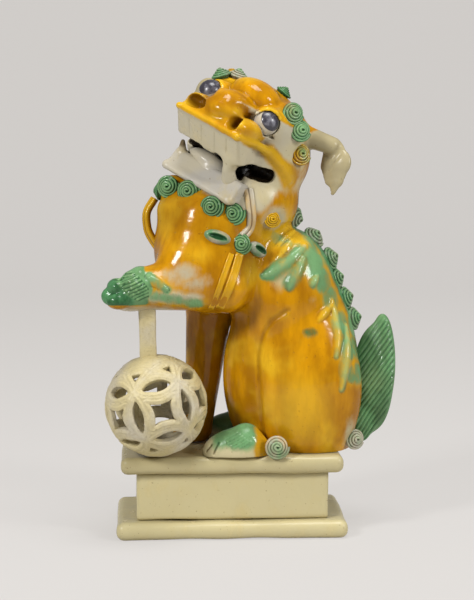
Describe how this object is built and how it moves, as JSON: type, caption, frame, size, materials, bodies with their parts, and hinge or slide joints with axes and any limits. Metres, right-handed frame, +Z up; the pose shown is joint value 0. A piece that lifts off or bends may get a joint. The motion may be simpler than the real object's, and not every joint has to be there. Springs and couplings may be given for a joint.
{
  "type": "incense holder",
  "caption": "Seated guardian lion in amber and green lead glaze on a box plinth, paw raised over an openwork ball, with loose rolling eyes and a tube for a joss stick.",
  "frame": {"origin": "centre of the plinth's underside", "axes": "+Z up, -X the way the lion's chest faces, -Y its left side, which the picture shows"},
  "size_m": [0.1332, 0.0838, 0.2077],
  "materials": {
    "amber_glaze": "glossy amber lead glaze with darker runs",
    "green_glaze": "glossy copper-green lead glaze",
    "cream_glaze": "thin straw-coloured clear glaze",
    "biscuit_clay": "almost bare cream biscuit",
    "aubergine_glaze": "glossy aubergine-black over white"
  },
  "bodies": {
    "lion": {"beard_curl_1": "green_glaze", "beard_curl_2": "green_glaze", "beard_curl_3": "green_glaze", "beard_curl_4": "green_glaze", "body_left_half": "amber_glaze", "body_right_half": "amber_glaze", "brocade_ball": "biscuit_clay", "crown_curl": "green_glaze", "head_shell": "cream_glaze", "joss_stick_tube": "amber_glaze", "left_bow_knot": "green_glaze", "left_bow_loop_back": "green_glaze", "left_bow_loop_front": "green_glaze", "left_brow_curl_1": "green_glaze", "left_brow_curl_2": "green_glaze", "left_brow_curl_3": "green_glaze", "left_cheek_strap": "cream_glaze", "left_ear": "cream_glaze", "left_heel_curl": "green_glaze", "left_hind_foot": "green_glaze", "left_ribbon_back": "amber_glaze", "left_ribbon_front": "amber_glaze", "lower_jaw": "cream_glaze", "neck_curl": "amber_glaze", "paw_post": "biscuit_clay", "plinth_back_wall": "cream_glaze", "plinth_foot_slab": "cream_glaze", "plinth_front_wall": "cream_glaze", "plinth_left_wall": "cream_glaze", "plinth_right_wall": "cream_glaze", "plinth_top_slab": "cream_glaze", "raised_foreleg": "amber_glaze", "right_bow_knot": "green_glaze", "right_brow_curl_1": "green_glaze", "right_brow_curl_2": "green_glaze", "right_brow_curl_3": "green_glaze", "right_ear": "cream_glaze", "right_heel_curl": "green_glaze", "right_hind_foot": "green_glaze", "right_ribbon": "amber_glaze", "spine_curl_1": "green_glaze", "spine_curl_2": "green_glaze", "spine_curl_3": "green_glaze", "spine_curl_4": "green_glaze", "spine_curl_5": "green_glaze", "spine_curl_6": "green_glaze", "standing_foreleg": "amber_glaze", "tail": "green_glaze", "tail_root_curl": "green_glaze", "tongue": "cream_glaze"},
    "left_eyeball": {"left_eye": "aubergine_glaze"},
    "right_eyeball": {"right_eye": "aubergine_glaze"}
  },
  "joints": [
    {"name": "left_eye_roll", "type": "hinge", "parent": "lion", "child": "left_eyeball", "pos_m": [0.01469, -0.02306, 0.18422], "axis": [0.4398, -0.0718, 0.8952], "range_deg": [-25, 25]},
    {"name": "right_eye_roll", "type": "hinge", "parent": "lion", "child": "right_eyeball", "pos_m": [-0.00858, -0.00457, 0.19713], "axis": [0.4398, -0.0718, 0.8952], "range_deg": [-25, 25]}
  ]
}
